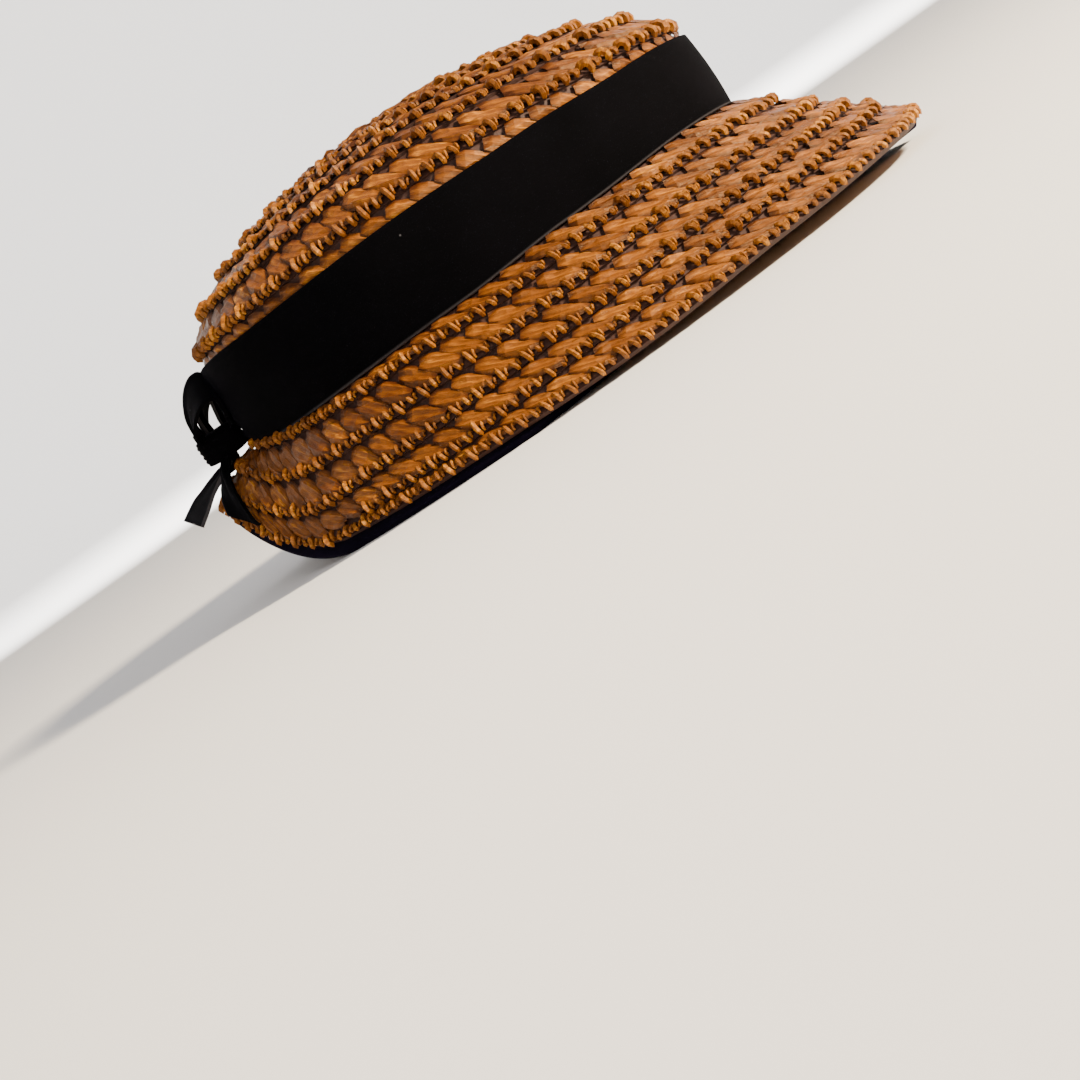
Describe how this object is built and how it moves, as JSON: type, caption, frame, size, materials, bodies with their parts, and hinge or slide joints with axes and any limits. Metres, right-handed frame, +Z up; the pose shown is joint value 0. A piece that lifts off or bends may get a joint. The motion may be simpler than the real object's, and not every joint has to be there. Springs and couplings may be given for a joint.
{
  "type": "straw bonnet",
  "caption": "Shallow oval bonnet of sewn straw braid with a sloping brim, dark velvet facing, wide black velvet ribbon and a bow at the back.",
  "frame": {"origin": "middle of the bounding box, on the surface that the rim rests on", "axes": "+X to the front of the bonnet, +Y to the wearer's left, +Z up to the top of the crown"},
  "size_m": [0.2932, 0.2376, 0.1115],
  "materials": {
    "straw_braid": "glossy plaited wheat straw, golden brown",
    "velvet_navy": "matte dark navy velvet",
    "velvet_black": "matte black velvet ribbon"
  },
  "bodies": {
    "root": {"crown": "straw_braid", "brim": "straw_braid", "brim_facing": "velvet_navy", "ribbon_band": "velvet_black", "bow_knot": "velvet_black", "bow_loop_left": "velvet_black", "bow_loop_right": "velvet_black", "bow_tail_left": "velvet_black", "bow_tail_right": "velvet_black"}
  },
  "joints": []
}
